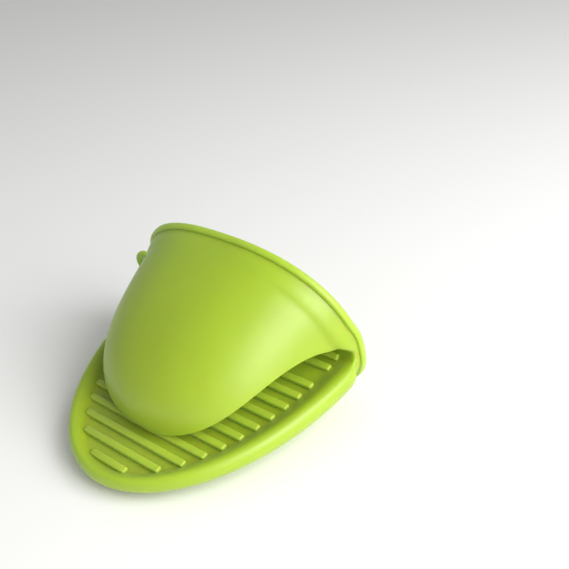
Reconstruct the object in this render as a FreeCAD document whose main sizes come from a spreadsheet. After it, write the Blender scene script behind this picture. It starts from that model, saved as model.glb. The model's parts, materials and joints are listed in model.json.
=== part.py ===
"""Silicone pinch mitt: a wide finger pocket and a domed thumb pocket that share one oval cuff.

The real mitt is one moulding. Here its regions are separate sub-parts on two bodies, the finger
side and the thumb side, which turn about the living hinge in the web between the two pockets.

Pocket frame, used for every outline below:
    X across the mitt, Y from the finger tip (negative) to the cuff (zero), Z up from the grip panel.
Each sub-part's Placement then tips that frame by the panel slope, so that the back of the finger
pocket lies flat on Z = 0 with the centre of the resting patch at the origin. The thumb side has one
more turn about the hinge, the lean that it has when the mitt lies relaxed.
"""

import FreeCAD, Part
import math
import os

import Sketcher

GRIP_RIBS = 11  # evenly spaced ribs, counted from the tip
MOUTH_RIBS = 2  # the two ribs set apart next to the mouth
THUMB_RIBS = 7  # ribs on the thumb side, facing the grip panel

SIZES = [
    # alias, value in mm or degrees, meaning
    ("finger_length", 96.5, "cuff rim to finger tip, along the grip panel"),
    ("finger_width", 113.0, "widest part of the finger pocket"),
    ("cuff_width", 107.0, "outside width of the hand opening"),
    ("cuff_depth", 72.0, "outside depth of the hand opening"),
    ("cuff_drop", 25.0, "grip panel surface down to the back, at the cuff rim"),
    ("panel_slope", 11.0, "angle between the grip panel and the back of the finger pocket"),
    ("straight_run", 10.0, "cuff rim to the point where the outline starts to close in"),
    ("rest_belly", 1.2, "depth of the back that is flattened to lie on"),
    ("wall", 2.8, "wall thickness of the moulding"),
    ("border_width", 9.5, "raised border, at the sides"),
    ("border_tip_width", 5.6, "raised border, at the tip"),
    ("border_rise", 3.5, "height of the border above the grip panel"),
    ("border_round", 2.4, "edge radius of the border"),
    ("rib_pitch", 6.5, "spacing of the ribs"),
    ("rib_width", 2.4, "width of a rib"),
    ("rib_height", 2.0, "height of a rib above the grip panel"),
    ("rib_end_gap", 1.3, "end of a rib to the border"),
    ("rib_tip_inset", 8.5, "finger tip to the middle of the first rib"),
    ("rib_break", 4.2, "extra space before the ribs next to the mouth"),
    ("rib_round", 0.5, "edge radius of a rib"),
    ("thumb_length", 71.0, "cuff rim to thumb tip"),
    ("thumb_width", 93.0, "width of the thumb pocket behind the cuff flare"),
    ("thumb_gap", 2.2, "thumb tip above the grip panel, relaxed"),
    ("thumb_arch", 11.5, "rise of the thumb's gripping wall between mouth and tip"),
    ("thumb_nose", 2.4, "height of the rounded nose above the thumb's gripping wall"),
    ("thumb_rib_height", 1.6, "height of a thumb rib"),
    ("thumb_rib_margin", 7.0, "end of a thumb rib to the outside of the thumb pocket"),
    ("rib_seat", 0.02, "thumb rib's flat foot below the curved wall that it stands on"),
    ("cuff_lean", 8.0, "lean of the thumb side towards the tip, relaxed"),
    ("mouth_depth", 4.2, "cuff rim to the valley of the mouth"),
    ("mouth_height", 9.2, "height of the mouth at the valley"),
    ("hinge_gap", 0.5, "thumb side above the hinge line"),
    ("hinge_relief", 0.3, "finger side below the hinge line"),
    ("bead_length", 3.0, "length of the cuff bead along the mitt"),
    ("bead_proud", 1.2, "height of the cuff bead above the wall"),
    ("bead_round", 1.0, "edge radius of the cuff bead"),
    ("loop_hole_radius", 3.9, "hole of the hanging loop"),
    ("loop_ring", 3.7, "width of the ring round the hole"),
    ("loop_thickness", 2.8, "thickness of the hanging loop"),
    ("loop_clearance", 0.3, "ring to the cuff bead"),
    ("loop_level", 7.0, "centre of the hole above the grip panel"),
    ("loop_neck", 5.0, "width of the neck that joins the ring to the cuff"),
    ("loop_round", 1.2, "edge radius of the hanging loop"),
]

# Shape of the pockets: squareness of their ovals, where 2 is an ellipse, and how they close.
REST_MIDDLE = 0.45  # share of the finger's length, at the middle of the resting patch
FINGER_POWER = 2.0
FINGER_POWER_GAIN = 0.7  # squarer towards the tip
FINGER_CLOSING = 0.3
DOME_POWER = 2.15
THUMB_TAPER = 2.6
THUMB_ROUND = 2.2
THUMB_BASE_DROP = 2.0  # mm, foot of the dome's sections below the hinge line
NOSE_INSET = 0.2  # share of the wall that the inside of the thumb's nose is lower
FLARE_LENGTH = 5.0  # mm, over which the cuff's flare dies out
FIRST_THUMB_RIB = 1.2  # rib spacings from the mouth's bend to the first thumb rib

SPAN = 400.0  # mm, cutting blocks, larger than the mitt
HALF_SPAN = SPAN / 2

doc = FreeCAD.newDocument("pinch_mitt")
sheet = doc.addObject("Spreadsheet::Sheet", "sizes")
for row, (alias, value, meaning) in enumerate(SIZES, start=1):
    sheet.set(f"A{row}", meaning)
    sheet.set(f"B{row}", str(value))
    sheet.setAlias(f"B{row}", alias)
doc.recompute()

parts = []  # every sub-part, in the order it is written


def size(alias):
    """The value of one driving dimension."""
    return float(sheet.get(alias))


def bind(thing, **expressions):
    """Bind properties of a document object to expressions; __ in a keyword stands for a dot."""
    for name, expression in expressions.items():
        thing.setExpression(name.replace("__", "."), expression)


# ---------------------------------------------------------------- worked-out sizes

slope = math.radians(size("panel_slope"))
lean = math.radians(size("cuff_lean"))
wall = size("wall")
half_width = size("finger_width") / 2
half_cuff = size("cuff_width") / 2
cuff_centre = size("cuff_depth") / 2 - size("cuff_drop")
cuff_top = size("cuff_depth") - size("cuff_drop")
mouth_radius = size("mouth_height") / 2
mouth_centre = size("mouth_depth") + mouth_radius
hinge_inset = size("mouth_depth") - wall / 2
hinge_height = mouth_radius
rest_middle = size("finger_length") * REST_MIDDLE  # rim to the middle of the resting patch
lift = size("cuff_drop") * math.cos(slope)
forward = rest_middle / math.cos(slope) - size("cuff_drop") * math.sin(slope)

ACROSS = FreeCAD.Vector(1, 0, 0)
HINGE = FreeCAD.Vector(0, -hinge_inset, hinge_height)
on_the_table = FreeCAD.Placement(
    FreeCAD.Vector(0, forward, lift),
    FreeCAD.Rotation(ACROSS, size("panel_slope")),
)
leaning = FreeCAD.Placement(
    FreeCAD.Vector(0, 0, 0),
    FreeCAD.Rotation(ACROSS, size("cuff_lean")),
    HINGE,
)
FINGER_SIDE = on_the_table
THUMB_SIDE = on_the_table.multiply(leaning)


def finish(thing, label, placement):
    """Give a sub-part its label and its place, and list it."""
    thing.Label = label
    thing.Placement = placement
    parts.append(thing)


def solid_feature(label, shape, placement):
    """A sub-part whose shape is free-form and is worked out from the sheet."""
    thing = doc.addObject("Part::Feature", label)
    thing.Shape = shape
    finish(thing, label, placement)
    return thing


# ---------------------------------------------------------------- outlines


def oval_point(half, base, rise, power, angle):
    """A point of a half oval that stands on a base line; a negative rise hangs below it."""
    across = math.copysign(abs(math.cos(angle)) ** (2 / power), math.cos(angle))
    return half * across, base + rise * math.sin(angle) ** (2 / power)


def half_oval(distance, half, base, rise, power):
    """Closed wire across the mitt at a distance from the cuff rim: a half oval and its base line."""
    steps = 16
    points = []
    for step in range(steps + 1):
        x, z = oval_point(half, base, rise, power, math.pi * step / steps)
        points.append(FreeCAD.Vector(x, -distance, z))
    curve = Part.BSplineCurve()
    curve.interpolate(points)
    return Part.Wire([curve.toShape(), Part.makeLine(points[-1], points[0])])


def along(start, end, angles):
    """Distances from the rim that close in on a round tip, one for each angle in degrees."""
    return [start + (end - start) * math.sin(math.radians(angle)) for angle in angles]


TIP_ANGLES = (8, 18, 30, 42, 54, 65, 74, 81, 86)


def finger_plan(distance, inset):
    """Half width of the finger pocket at a distance from the rim, inside a wall or not."""
    run = size("straight_run")
    if distance <= run:
        share = math.sin(math.pi / 2 * max(distance, 0) / run)
        return half_cuff + (half_width - half_cuff) * share - inset
    reach = size("finger_length") - inset - run
    ratio = min((distance - run) / reach, 1.0)
    return (half_width - inset) * math.sqrt(1 - ratio**2)


def finger_body(inset):
    """The finger pocket below the grip panel as one solid, from the rim to the round tip."""
    run = size("straight_run")
    tip = size("finger_length") - inset
    ends = [size("bead_length") - inset, size("bead_length") + 0.4 * run, run]
    wires = []
    for distance in ends + along(run, tip, TIP_ANGLES):
        closing = math.sqrt(max(1 - max((distance - run) / (tip - run), 0) ** 2, 0))
        drop = size("cuff_drop") + size("rest_belly") - distance * math.tan(slope) - inset
        power = FINGER_POWER + FINGER_POWER_GAIN * min(max(distance, 0) / tip, 1)
        rise = -drop * closing**FINGER_CLOSING
        wires.append(half_oval(distance, finger_plan(distance, inset), 0, rise, power))
    return Part.makeLoft(wires, True, False)


def above_table(shape):
    """The part of a finger-side shape that lies above the resting plane."""
    block = Part.makeBox(
        SPAN, SPAN, HALF_SPAN, FreeCAD.Vector(-HALF_SPAN, -HALF_SPAN, -HALF_SPAN)
    )
    block.Placement = on_the_table.inverse().multiply(block.Placement)
    return shape.cut(block)


def thumb_plan(distance, inset):
    """Half width of the thumb pocket at a distance from the rim, with the flare at the cuff."""
    half = size("thumb_width") / 2
    past_bead = max(distance - size("bead_length"), 0)
    flare = (half_cuff - half) * math.exp(-past_bead / FLARE_LENGTH)
    reach = size("thumb_length") - inset
    ratio = min(max(distance, 0) / reach, 1.0)
    body = (half - inset) * (1 - ratio**THUMB_TAPER) ** (1 / THUMB_ROUND)
    return body + flare * (1 - ratio)


def mouth_level(distance):
    """Height of the thumb's gripping wall over the hinge frame, at a distance from the rim."""
    reach = size("thumb_length") - hinge_inset
    tip_level = (size("thumb_gap") - hinge_height + reach * math.sin(lean)) / math.cos(lean)
    tip_level += hinge_height
    share = (distance - mouth_centre) / (size("thumb_length") - mouth_centre)
    straight = size("mouth_height") + (tip_level - size("mouth_height")) * share
    return straight + 4 * size("thumb_arch") * share * (1 - share)


def thumb_base():
    """The level where the thumb pocket's sections stand, a little below the hinge line."""
    return hinge_height - THUMB_BASE_DROP


def thumb_body(inset):
    """The thumb pocket above the hinge line as one solid, from the rim to the nose."""
    tip = size("thumb_length") - inset
    base = thumb_base()
    nose = mouth_level(size("thumb_length")) + size("thumb_nose") - inset * NOSE_INSET
    starts = [size("bead_length") - inset, size("bead_length") + 4, size("bead_length") + 9]
    wires = []
    for distance in starts + along(0, tip, TIP_ANGLES[2:]):
        ratio = min(max(distance, 0) / tip, 1)
        top = nose + (cuff_top - inset - nose) * math.sqrt(1 - ratio**2)
        half = thumb_plan(distance, inset)
        wires.append(half_oval(distance, half, base, top - base, DOME_POWER))
    return Part.makeLoft(wires, True, False)


def mouth_edge(offset):
    """Side view of the mouth's upper wall, moved up by an offset: hinge line, bend and arch."""
    radius = mouth_radius + offset
    back = FreeCAD.Vector(0, -(mouth_centre - radius), hinge_height + size("hinge_gap"))
    turn = math.asin(size("hinge_gap") / radius)
    back.y = -(mouth_centre - radius * math.cos(turn))
    middle = FreeCAD.Vector(
        0,
        -(mouth_centre - radius * math.sqrt(0.5)),
        hinge_height + radius * math.sqrt(0.5),
    )
    top = FreeCAD.Vector(0, -mouth_centre, hinge_height + radius)
    bend = Part.Arc(back, middle, top).toShape()
    points = []
    for step in range(9):
        distance = mouth_centre + (size("thumb_length") + 6 - mouth_centre) * step / 8
        points.append(FreeCAD.Vector(0, -distance, mouth_level(distance) + offset))
    points[0] = top
    arch = Part.BSplineCurve()
    arch.interpolate(points)
    return bend, arch.toShape(), back, points[-1]


def over_mouth(offset, start):
    """Everything above the mouth's upper wall, as a prism right across the mitt."""
    bend, arch, back, end = mouth_edge(offset)
    ceiling = cuff_top + 60
    corners = [
        end,
        FreeCAD.Vector(0, end.y, ceiling),
        FreeCAD.Vector(0, start, ceiling),
        FreeCAD.Vector(0, start, back.z),
        back,
    ]
    edges = [bend, arch]
    for one, two in zip(corners, corners[1:]):
        edges.append(Part.makeLine(one, two))
    face = Part.Face(Part.Wire(Part.__sortEdges__(edges)))
    face.translate(FreeCAD.Vector(-HALF_SPAN, 0, 0))
    return face.extrude(FreeCAD.Vector(SPAN, 0, 0))


# ---------------------------------------------------------------- finger side


def make_finger_shell():
    """Back and side walls of the finger pocket, open at the cuff and under the grip panel."""
    shell = above_table(finger_body(0)).cut(finger_body(wall))
    solid_feature("finger_shell", shell, FINGER_SIDE)


def make_grip_panel():
    """The flat wall that grips, set inside the shell's top edge, from the web to the tip."""
    slab = Part.makeBox(
        SPAN, SPAN, wall, FreeCAD.Vector(-HALF_SPAN, -SPAN - mouth_centre, -wall)
    )
    solid_feature("grip_panel", finger_body(wall).common(slab), FINGER_SIDE)


def elliptic_prism(name, centre, across, reach, height):
    """An upright elliptic prism on the panel, cut off square at the cuff rim."""
    outline = doc.addObject("Part::Ellipse", name + "_outline")
    outline.Placement = FreeCAD.Placement(
        FreeCAD.Vector(0, 0, 0), FreeCAD.Rotation(FreeCAD.Vector(0, 0, 1), 90)
    )
    bind(outline, MajorRadius=reach, MinorRadius=across, Placement__Base__y="-" + centre)
    prism = doc.addObject("Part::Extrusion", name + "_prism")
    prism.Base = outline
    prism.DirMode = "Custom"
    prism.Dir = FreeCAD.Vector(0, 0, 1)
    prism.Solid = True
    bind(prism, LengthFwd=height)
    front = doc.addObject("Part::Box", name + "_front")
    bind(
        front,
        Length="4 * " + across,
        Width=reach,
        Height=height,
        Placement__Base__x="-2 * " + across,
        Placement__Base__y="-" + centre + " - " + reach,
    )
    half = doc.addObject("Part::Common", name + "_half")
    half.Base = prism
    half.Tool = front
    legs = doc.addObject("Part::Box", name + "_legs")
    bind(
        legs,
        Length="2 * " + across,
        Width=centre + " - sizes.bead_length",
        Height=height,
        Placement__Base__x="-" + across,
        Placement__Base__y="-" + centre,
    )
    whole = doc.addObject("Part::Fuse", name)
    whole.Base = half
    whole.Tool = legs
    whole.Refine = True
    return whole


def make_panel_border():
    """The raised round border: a U round the grip panel, open towards the cuff."""
    outer = elliptic_prism(
        "border_outer",
        "sizes.straight_run",
        "(sizes.finger_width / 2)",
        "(sizes.finger_length - sizes.straight_run)",
        "sizes.border_rise",
    )
    inner = elliptic_prism(
        "border_inner",
        "sizes.straight_run",
        "(sizes.finger_width / 2 - sizes.border_width)",
        "(sizes.finger_length - sizes.straight_run - sizes.border_tip_width)",
        "sizes.border_rise",
    )
    ring = doc.addObject("Part::Cut", "border_ring")
    ring.Base = outer
    ring.Tool = inner
    doc.recompute()
    top = size("border_rise")
    rim = -size("bead_length")
    chosen = []
    for number, edge in enumerate(ring.Shape.Edges, start=1):
        box = edge.BoundBox
        if abs(box.ZMin - top) < 1e-6 and box.YMin < rim - 1e-6:
            chosen.append((number, size("border_round"), size("border_round")))
    border = doc.addObject("Part::Fillet", "panel_border")
    border.Base = ring
    border.Edges = chosen
    finish(border, "panel_border", FINGER_SIDE)


def make_rib(label, length, height, placement):
    """One straight rib with rounded top edges, centred on the X axis of its own placement."""
    body = doc.addObject("PartDesign::Body", label)
    bar = body.newObject("PartDesign::AdditiveBox", label + "_bar")
    bind(bar, Length=length, Width="sizes.rib_width", Height=height)
    bind(bar, Placement__Base__x=f"-({length}) / 2", Placement__Base__y="-sizes.rib_width / 2")
    doc.recompute()
    top = max(bar.Shape.Faces, key=lambda face: face.CenterOfMass.z)
    edges = []
    for number, edge in enumerate(bar.Shape.Edges, start=1):
        if any(edge.isSame(other) for other in top.Edges):
            edges.append(f"Edge{number}")
    round_off = body.newObject("PartDesign::Fillet", label + "_round")
    round_off.Base = (bar, edges)
    bind(round_off, Radius="sizes.rib_round")
    body.Tip = round_off
    finish(body, label, placement)


def grip_rib_length(distance):
    """Expression for the length of a grip rib: the border's inner outline less the end gaps."""
    across = "(sizes.finger_width / 2 - sizes.border_width - sizes.rib_end_gap)"
    reach = "(sizes.finger_length - sizes.straight_run - sizes.border_tip_width - sizes.rib_end_gap)"
    past = f"(max(0; {distance} - sizes.straight_run) / {reach})"
    return f"2 * {across} * sqrt(1 - {past} ^ 2)"


def grip_seat(distance):
    """Where a rib stands: on the flat panel, or round the bend of the web past its end."""
    if distance >= mouth_centre:
        return FreeCAD.Placement(FreeCAD.Vector(0, -distance, 0), FreeCAD.Rotation())
    turn = (mouth_centre - distance) / mouth_radius
    chord_sag = size("rib_width") ** 2 / (8 * mouth_radius)
    radius = mouth_radius - chord_sag
    spot = FreeCAD.Vector(
        0,
        -(mouth_centre - radius * math.sin(turn)),
        hinge_height - radius * math.cos(turn),
    )
    return FreeCAD.Placement(spot, FreeCAD.Rotation(ACROSS, math.degrees(turn)))


def make_grip_ribs():
    """The grip panel's ribs, numbered from the tip, with the last two set apart by a wider gap."""
    first = size("finger_length") - size("rib_tip_inset")
    for index in range(GRIP_RIBS + MOUTH_RIBS):
        shift = f"{index} * sizes.rib_pitch"
        distance = first - index * size("rib_pitch")
        if index >= GRIP_RIBS:
            shift += " + sizes.rib_break"
            distance -= size("rib_break")
        station = f"(sizes.finger_length - sizes.rib_tip_inset - {shift})"
        make_rib(
            f"grip_rib_{index + 1:02d}",
            grip_rib_length(station),
            "sizes.rib_height",
            FINGER_SIDE.multiply(grip_seat(distance)),
        )


def quarter_pipe(low, high):
    """The web's bend between two angles, as a ring sector about the mouth's centre line."""
    inner, outer = mouth_radius, mouth_radius + wall
    centre = FreeCAD.Vector(0, -mouth_centre, hinge_height)
    middle = (low + high) / 2

    def at(radius, angle):
        """A point of the bend; angle zero points at the cuff and turns up."""
        return centre + FreeCAD.Vector(0, radius * math.cos(angle), radius * math.sin(angle))

    edges = [
        Part.Arc(at(inner, low), at(inner, middle), at(inner, high)).toShape(),
        Part.makeLine(at(inner, high), at(outer, high)),
        Part.Arc(at(outer, high), at(outer, middle), at(outer, low)).toShape(),
        Part.makeLine(at(outer, low), at(inner, low)),
    ]
    return Part.Face(Part.Wire(edges))


def make_web_lower():
    """The lower half of the web in the mouth's valley, from the grip panel up to the hinge line."""
    stop = -math.asin(size("hinge_relief") / (mouth_radius + wall))
    half = half_width - size("border_width")
    face = quarter_pipe(-math.pi / 2, stop)
    face.translate(FreeCAD.Vector(-half, 0, 0))
    solid_feature("mouth_web_lower", face.extrude(FreeCAD.Vector(2 * half, 0, 0)), FINGER_SIDE)


def bead_ring(base, rise, power):
    """Half of the cuff's bead round a half oval, with rounded edges; its ends are on the base."""
    solids = []
    for grow in (size("bead_proud"), -wall):
        outline = half_oval(0, half_cuff + grow, base, rise + math.copysign(1, rise) * grow, power)
        solids.append(Part.Face(outline).extrude(FreeCAD.Vector(0, -size("bead_length"), 0)))
    ring = solids[0].cut(solids[1])
    oval_edges = [edge for edge in ring.Edges if edge.Length > size("cuff_depth")]
    return ring.makeFillet(size("bead_round"), oval_edges)


def bead_end(side):
    """A short straight end of the bead, from the panel's level up to the border's crest."""
    block = Part.makeBox(
        wall + size("bead_proud"),
        size("bead_length"),
        size("border_rise"),
        FreeCAD.Vector(half_cuff - wall, -size("bead_length"), 0),
    )
    upright = [edge for edge in block.Edges if abs(edge.BoundBox.ZLength - size("border_rise")) < 1e-3]
    block = block.makeFillet(size("bead_round"), upright)
    return block if side > 0 else block.mirror(FreeCAD.Vector(0, 0, 0), ACROSS)


def neck_block():
    """The neck between the loop's ring and the cuff, which is let into the bead."""
    reach = loop_centre()
    return Part.makeBox(
        reach - half_cuff + wall / 2,
        size("loop_thickness"),
        size("loop_neck"),
        FreeCAD.Vector(-reach, -loop_back(), size("border_rise") - size("loop_neck")),
    )


def make_finger_bead():
    """The finger side's half of the cuff bead, up to the height of the border."""
    ring = above_table(bead_ring(0, -size("cuff_drop"), FINGER_POWER))
    whole = ring.fuse([bead_end(-1), bead_end(1)]).removeSplitter()
    solid_feature("cuff_bead_finger", whole.cut(neck_block()), FINGER_SIDE)


def loop_centre():
    """The loop's hole, from the middle of the mitt."""
    gap = size("bead_proud") + size("loop_clearance")
    return half_cuff + gap + size("loop_ring") + size("loop_hole_radius")


def loop_back():
    """The loop's face nearer the tip, from the cuff rim, so that it sits midway in the bead."""
    return (size("bead_length") + size("loop_thickness")) / 2


def make_hanging_loop():
    """A flat ring in the cuff's plane with a round hole, on a neck that joins the bead."""
    body = doc.addObject("PartDesign::Body", "hanging_loop")
    plane = next(item for item in body.Origin.OriginFeatures if item.Role == "XZ_Plane")
    sketch = body.newObject("Sketcher::SketchObject", "loop_outline")
    sketch.AttachmentSupport = [(plane, "")]
    sketch.MapMode = "FlatFace"
    centre = FreeCAD.Vector(-loop_centre(), size("loop_level"), 0)
    radius = size("loop_hole_radius") + size("loop_ring")
    ring = sketch.addGeometry(Part.Circle(centre, FreeCAD.Vector(0, 0, 1), radius), False)
    reach = (
        "sizes.cuff_width / 2 + sizes.bead_proud + sizes.loop_clearance"
        " + sizes.loop_ring + sizes.loop_hole_radius"
    )
    dimensions = [
        ("DistanceX", (ring, 3, -1, 1), "reach", -centre.x, reach),
        ("DistanceY", (-1, 1, ring, 3), "level", centre.y, "sizes.loop_level"),
        ("Radius", (ring,), "ring", radius, "sizes.loop_hole_radius + sizes.loop_ring"),
    ]
    for kind, where, name, value, expression in dimensions:
        number = sketch.addConstraint(Sketcher.Constraint(kind, *where, value))
        sketch.renameConstraint(number, name)
        sketch.setExpression("Constraints." + name, expression)
    back = "((sizes.bead_length + sizes.loop_thickness) / 2)"
    sketch.setExpression("AttachmentOffset.Base.z", back)
    doc.recompute()
    pad = body.newObject("PartDesign::Pad", "loop_disc")
    pad.Profile = sketch
    pad.Reversed = True
    bind(pad, Length="sizes.loop_thickness")
    doc.recompute()
    rims = []
    for number, edge in enumerate(pad.Shape.Edges, start=1):
        if edge.BoundBox.YLength < 1e-6:
            rims.append(f"Edge{number}")
    round_off = body.newObject("PartDesign::Fillet", "loop_round")
    round_off.Base = (pad, rims)
    bind(round_off, Radius="sizes.loop_round")
    neck = body.newObject("PartDesign::AdditiveBox", "loop_neck")
    bind(
        neck,
        Length=reach + " - sizes.cuff_width / 2 + sizes.wall / 2",
        Width="sizes.loop_thickness",
        Height="sizes.loop_neck",
        Placement__Base__x=f"-({reach})",
        Placement__Base__y="-" + back,
        Placement__Base__z="sizes.border_rise - sizes.loop_neck",
    )
    hole = body.newObject("PartDesign::SubtractiveCylinder", "loop_hole")
    hole.Placement = FreeCAD.Placement(FreeCAD.Vector(0, 0, 0), FreeCAD.Rotation(ACROSS, 90))
    bind(
        hole,
        Radius="sizes.loop_hole_radius",
        Height="2 * sizes.bead_length",
        Placement__Base__x=f"-({reach})",
        Placement__Base__y="sizes.bead_length / 2",
        Placement__Base__z="sizes.loop_level",
    )
    body.Tip = hole
    finish(body, "hanging_loop", FINGER_SIDE)


# ---------------------------------------------------------------- thumb side


def make_thumb_shell():
    """The dome of the thumb pocket, open at the cuff and over its gripping wall."""
    shell = thumb_body(0).cut(thumb_body(wall)).common(over_mouth(0, 20))
    solid_feature("thumb_shell", shell, THUMB_SIDE)


def make_thumb_panel():
    """The thumb pocket's arched gripping wall and the upper half of the web, as two pieces."""
    skin = over_mouth(0, 20).cut(over_mouth(wall, 20)).common(thumb_body(wall))
    web_block = Part.makeBox(
        SPAN, SPAN, SPAN, FreeCAD.Vector(-HALF_SPAN, -mouth_centre, -HALF_SPAN)
    )
    inner_face = mouth_centre - mouth_radius - wall
    behind = Part.makeBox(
        SPAN, SPAN, SPAN, FreeCAD.Vector(-HALF_SPAN, -inner_face, -HALF_SPAN)
    )
    solid_feature("thumb_panel", skin.cut(web_block), THUMB_SIDE)
    solid_feature("mouth_web_upper", skin.common(web_block).cut(behind), THUMB_SIDE)


def make_thumb_ribs():
    """Short ribs across the thumb's gripping wall, each square to the arch where it stands."""
    span = size("thumb_length") - mouth_centre
    for index in range(THUMB_RIBS):
        distance = mouth_centre + span * (index + FIRST_THUMB_RIB) / (THUMB_RIBS + FIRST_THUMB_RIB)
        level = mouth_level(distance)
        tilt = math.degrees(math.atan(mouth_level(distance + 0.5) - mouth_level(distance - 0.5)))
        ratio = (level - hinge_height) / (cuff_top - hinge_height)
        half = thumb_plan(distance, 0) * math.sqrt(1 - ratio**2) - size("thumb_rib_margin")
        seat = FreeCAD.Placement(
            FreeCAD.Vector(0, -distance, level - size("rib_seat")),
            FreeCAD.Rotation(ACROSS, 180 - tilt),
        )
        make_rib(
            f"thumb_rib_{index + 1:02d}",
            f"{2 * half:.4f}",
            "sizes.thumb_rib_height",
            THUMB_SIDE.multiply(seat),
        )


def make_thumb_bead():
    """The thumb side's half of the cuff bead, from just above the hinge line."""
    base = thumb_base()
    level = hinge_height + size("hinge_gap")
    below = Part.makeBox(
        SPAN, SPAN, SPAN, FreeCAD.Vector(-HALF_SPAN, -HALF_SPAN, level - SPAN)
    )
    ring = bead_ring(base, cuff_top - base, DOME_POWER)
    solid_feature("cuff_bead_thumb", ring.cut(below), THUMB_SIDE)


def check_document():
    """Stop on any failed object or broken solid."""
    for thing in doc.Objects:
        if "Invalid" in thing.State or "Error" in thing.State:
            raise RuntimeError(f"{thing.Label} failed: {thing.State}")
    for thing in parts:
        shape = thing.Shape
        if shape.isNull() or not shape.isValid() or not shape.Solids:
            raise RuntimeError(f"{thing.Label} has no valid solid")
        print(f"{thing.Label:20s} {shape.Volume:10.1f} mm3, {len(shape.Solids)} solid(s)")


make_finger_shell()
make_grip_panel()
make_panel_border()
make_grip_ribs()
make_web_lower()
make_finger_bead()
make_hanging_loop()
make_thumb_shell()
make_thumb_panel()
make_thumb_ribs()
make_thumb_bead()
doc.recompute()
check_document()

os.makedirs("parts", exist_ok=True)
for thing in parts:
    thing.Shape.exportStep(f"parts/{thing.Label}.step")
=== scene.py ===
"""Silicone pinch mitt: one moulded skin over a finger pocket and a thumb pocket.

Sizes are in millimetres in the mitt's own pocket frame until they are placed: x across the mitt,
t from the cuff's rim towards the finger tip, w up from the grip panel. PocketFrame turns them into
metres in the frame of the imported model, and finds its own place there from the pinch joint.
"""

import json
import logging
import math
from dataclasses import dataclass, field
from enum import Enum
from typing import Sequence

import bmesh
import bpy
from mathutils import Matrix, Vector

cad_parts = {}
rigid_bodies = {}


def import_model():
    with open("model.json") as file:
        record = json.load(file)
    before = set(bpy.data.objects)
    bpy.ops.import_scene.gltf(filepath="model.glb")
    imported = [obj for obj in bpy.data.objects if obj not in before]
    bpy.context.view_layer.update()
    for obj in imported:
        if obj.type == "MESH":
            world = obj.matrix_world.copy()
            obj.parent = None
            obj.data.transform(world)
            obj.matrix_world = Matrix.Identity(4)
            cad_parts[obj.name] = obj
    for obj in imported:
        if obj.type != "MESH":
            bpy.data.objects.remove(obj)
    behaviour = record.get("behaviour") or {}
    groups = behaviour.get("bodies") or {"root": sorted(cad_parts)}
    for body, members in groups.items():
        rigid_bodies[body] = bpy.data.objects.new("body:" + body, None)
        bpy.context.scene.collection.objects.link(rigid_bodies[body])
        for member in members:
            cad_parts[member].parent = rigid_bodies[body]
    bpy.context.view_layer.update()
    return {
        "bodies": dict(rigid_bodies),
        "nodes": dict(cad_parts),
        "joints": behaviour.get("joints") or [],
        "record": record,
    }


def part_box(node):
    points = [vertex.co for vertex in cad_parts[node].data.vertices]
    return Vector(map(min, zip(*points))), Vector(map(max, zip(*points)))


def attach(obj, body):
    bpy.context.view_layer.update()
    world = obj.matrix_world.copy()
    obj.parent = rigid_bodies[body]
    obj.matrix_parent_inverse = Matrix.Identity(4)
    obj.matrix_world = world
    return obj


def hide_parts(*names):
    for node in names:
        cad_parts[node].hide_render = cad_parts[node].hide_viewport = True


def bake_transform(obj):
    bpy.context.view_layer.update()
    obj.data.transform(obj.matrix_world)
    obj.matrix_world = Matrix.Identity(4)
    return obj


log = logging.getLogger("pinch_mitt")

Pair = tuple[float, float]
Point = tuple[float, float, float]

MM = 0.001
TINY = 1e-6  # metres, less than any step in a mesh
HALF = 10  # columns from a corner of the mouth to the mitt's middle plane
CAGE_LEVELS = 2  # of subdivision, for the skin and the loop
LEAN_ZONE = 0.2  # share of the cuff's quarter over which the thumb side takes up its lean
GRIP_RIBS = 11
MOUTH_RIBS = 2
THUMB_RIBS = 7
MIX_A, MIX_B, MIX_RESULT = 6, 7, 2  # a Mix node's colour sockets, whose names are not unique


class Side(Enum):
    """The two bodies that the pinch joint joins."""

    FINGER = "finger_side"
    THUMB = "thumb_side"


class Wall(Enum):
    """The two faces of the moulding: the one outside and the one that the hand touches."""

    OUTER = "outer"
    INNER = "inner"


def smooth(low: float, high: float, value: float) -> float:
    """Ease from 0 at low to 1 at high."""
    share = min(max((value - low) / (high - low), 0.0), 1.0)
    return share * share * (3 - 2 * share)


def mix(one: float, two: float, share: float) -> float:
    """Straight blend of two numbers."""
    return one + (two - one) * share


def squared_off(value: float, power: float) -> float:
    """A sine or cosine that turns a circle into an oval squarer than an ellipse, sign kept."""
    return math.copysign(abs(value) ** (2 / power), value)


def mirrored(half: Sequence[Point]) -> list[Point]:
    """Carry a half outline, from one side to the middle, across to the other side."""
    return list(half) + [(-x, t, w) for x, t, w in reversed(half[:-1])]


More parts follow.
